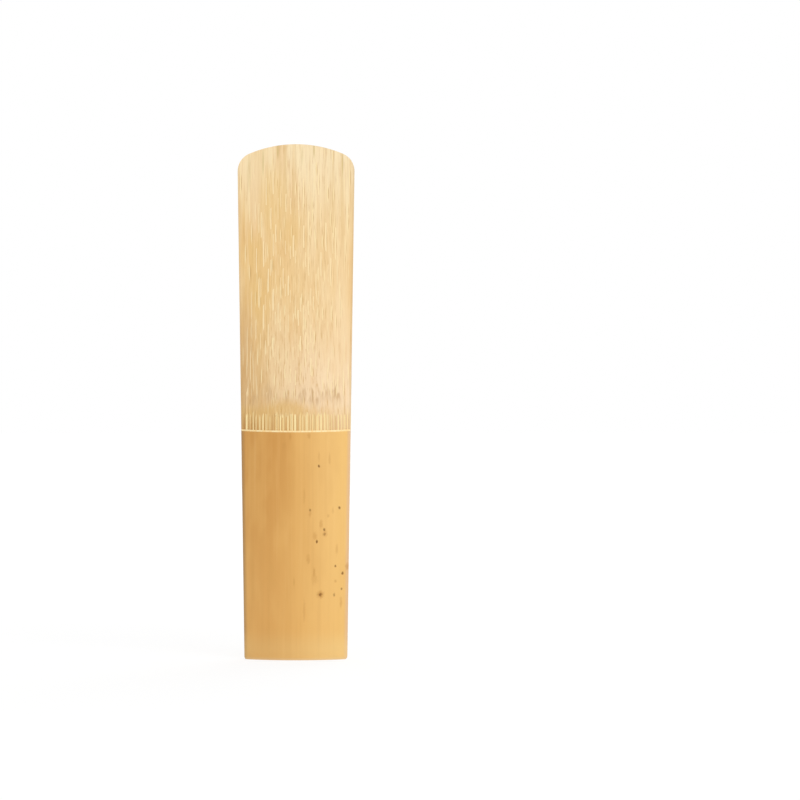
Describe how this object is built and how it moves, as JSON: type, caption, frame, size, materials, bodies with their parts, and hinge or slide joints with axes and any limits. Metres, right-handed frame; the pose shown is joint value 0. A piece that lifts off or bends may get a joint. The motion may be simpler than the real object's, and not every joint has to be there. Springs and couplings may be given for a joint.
{
  "type": "tenor saxophone reed",
  "caption": "Slip of giant reed cane with a flat back, glossy bark on the stock, a filed band and a vamp that thins to a rounded tip. Its layers and inner strands are separate solids.",
  "frame": {"origin": "middle of the butt end's edge on the flat back", "axes": "+Z from the butt end to the tip, +Y out of the flat back, so the bark and the vamp face -Y"},
  "size_m": [0.018, 0.0033, 0.079],
  "materials": {
    "bark": "satin",
    "cortex": "matte",
    "cane": "matte",
    "fibre": "matte",
    "burnt_figure": "matte"
  },
  "bodies": {
    "root": {"bark": "bark", "cortex_layer": "cortex", "cortex_fibre_bundles": "fibre", "cane_body": "cane", "inner_fibre_bundles": "fibre", "back_fibre_bundles": "fibre", "strength_number": "burnt_figure"}
  },
  "joints": []
}
